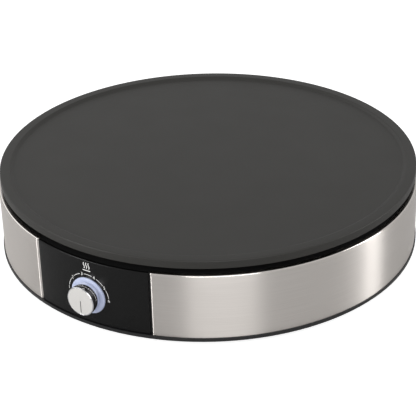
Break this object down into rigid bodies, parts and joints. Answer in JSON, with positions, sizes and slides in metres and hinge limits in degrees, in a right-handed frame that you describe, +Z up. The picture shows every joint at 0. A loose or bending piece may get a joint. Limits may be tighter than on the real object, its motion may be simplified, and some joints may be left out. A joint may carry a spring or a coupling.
{
  "type": "round electric griddle",
  "caption": "Round tabletop electric griddle: a rimmed non-stick plate on a drum body with a brushed steel band and one lit front dial.",
  "frame": {"origin": "on the table under the plate, on the axis that the plate and the body share", "axes": "+Z up, out of the cooking surface; the control knob faces -Y; +X is on the right of someone who faces the knob"},
  "size_m": [0.4059, 0.4237, 0.0844],
  "materials": {
    "nonstick_plate": "non-stick coating on cast aluminium, satin",
    "element_tube": "heat-browned steel tube",
    "heat_shield": "bright rolled sheet",
    "body_moulding": "moulded, fine grain",
    "brushed_band": "brushed along its length",
    "panel_moulding": "satin moulding",
    "light_ring": "milky, lit from behind",
    "circuit_board": "lacquered",
    "lamps": "clear moulding",
    "zinc_plate": "zinc plated sheet",
    "ceramic_white": "glazed ceramic",
    "brass": "machined",
    "steel_bright": "bright",
    "plated_knob": "spun face, bright edge",
    "copper": "drawn copper tube",
    "rubber_grommet": "soft moulding",
    "fuse_sleeve": "woven glass sleeve",
    "connector_sleeve": "moulded sleeve",
    "lead_brown": "silicone insulation",
    "lead_blue": "silicone insulation",
    "lead_earth": "silicone insulation",
    "gland_moulding": "moulded nylon",
    "cover_moulding": "moulded, textured",
    "rubber_foot": "moulded rubber",
    "fasteners": "zinc plated"
  },
  "bodies": {
    "base": {"block_screws": "fasteners", "board_screws": "fasteners", "board_spacers": "ceramic_white", "bottom_cover": "cover_moulding", "bracket_screws": "fasteners", "bulb_clamp": "zinc_plate", "capillary_grommet": "rubber_grommet", "capillary_tube": "copper", "clamp_screws": "fasteners", "control_panel": "panel_moulding", "cord_clamp": "body_moulding", "cord_clamp_screws": "fasteners", "cord_gland": "gland_moulding", "cover_screws": "fasteners", "diaphragm_capsule": "steel_bright", "drum": "body_moulding", "earth_lead": "lead_earth", "earth_screw": "fasteners", "earth_tag": "brass", "element_beads": "ceramic_white", "element_blades": "brass", "foot_front_left": "rubber_foot", "foot_front_right": "rubber_foot", "foot_rear_left": "rubber_foot", "foot_rear_right": "rubber_foot", "fuse_clamp": "zinc_plate", "fuse_feed_lead": "lead_brown", "gland_nut": "gland_moulding", "griddle_plate": "nonstick_plate", "heat_shield": "heat_shield", "heater_lead": "lead_brown", "heating_element": "element_tube", "lamp_board": "circuit_board", "lamp_lead": "lead_blue", "lamps": "lamps", "light_ring": "light_ring", "live_lead": "lead_brown", "neutral_lead": "lead_blue", "panel_screws": "fasteners", "panel_washers": "fasteners", "plate_screws": "fasteners", "plate_spacers": "steel_bright", "plate_washers": "fasteners", "spade_connectors": "connector_sleeve", "steel_band": "brushed_band", "terminal_block": "ceramic_white", "terminal_screws": "brass", "thermal_fuse": "fuse_sleeve", "thermostat_blades": "brass", "thermostat_body": "ceramic_white", "thermostat_bracket": "zinc_plate", "thermostat_bulb": "copper", "thermostat_frame": "zinc_plate", "thermostat_screws": "fasteners"},
    "knob": {"knob_cap": "plated_knob", "knob_core": "body_moulding", "knob_clip": "steel_bright", "thermostat_shaft": "brass"}
  },
  "joints": [
    {"name": "knob_turn", "type": "hinge", "parent": "base", "child": "knob", "pos_m": [0, -0.19, 0.0352], "axis": [0, 1, 0], "range_deg": [0, 270]}
  ]
}
